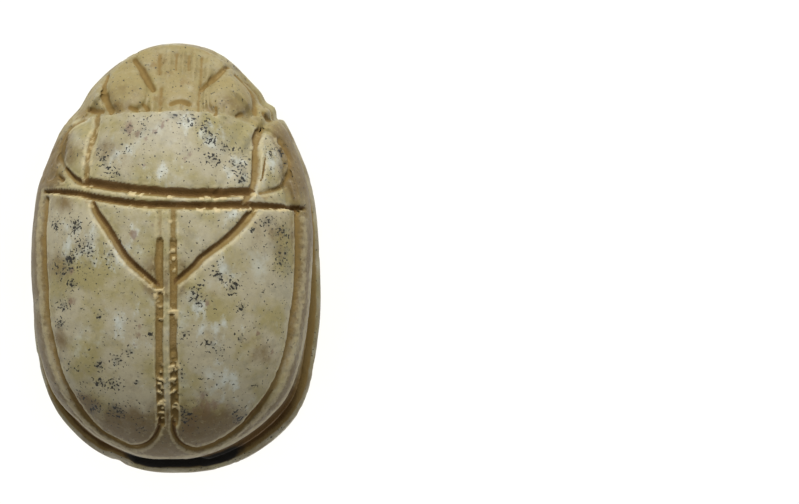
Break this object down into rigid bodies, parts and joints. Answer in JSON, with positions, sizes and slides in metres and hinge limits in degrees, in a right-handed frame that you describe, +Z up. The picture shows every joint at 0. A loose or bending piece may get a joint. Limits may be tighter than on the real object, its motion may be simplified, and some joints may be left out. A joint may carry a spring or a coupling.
{
  "type": "scarab amulet",
  "caption": "Beetle-shaped stone amulet, pierced lengthwise for a cord, with a flat oval base carved with a border line and rows of cut marks.",
  "frame": {"origin": "on the underside of the flat base, at the middle of the overall box", "axes": "+Y along the beetle towards its head, +Z up through its back, +X to the right with the head pointing away"},
  "size_m": [0.0148, 0.022, 0.0096],
  "materials": {
    "glazed_steatite": "worn satin glaze over pale stone, brown deposit in the carved lines"
  },
  "bodies": {
    "root": {"scarab": "glazed_steatite"}
  },
  "joints": []
}
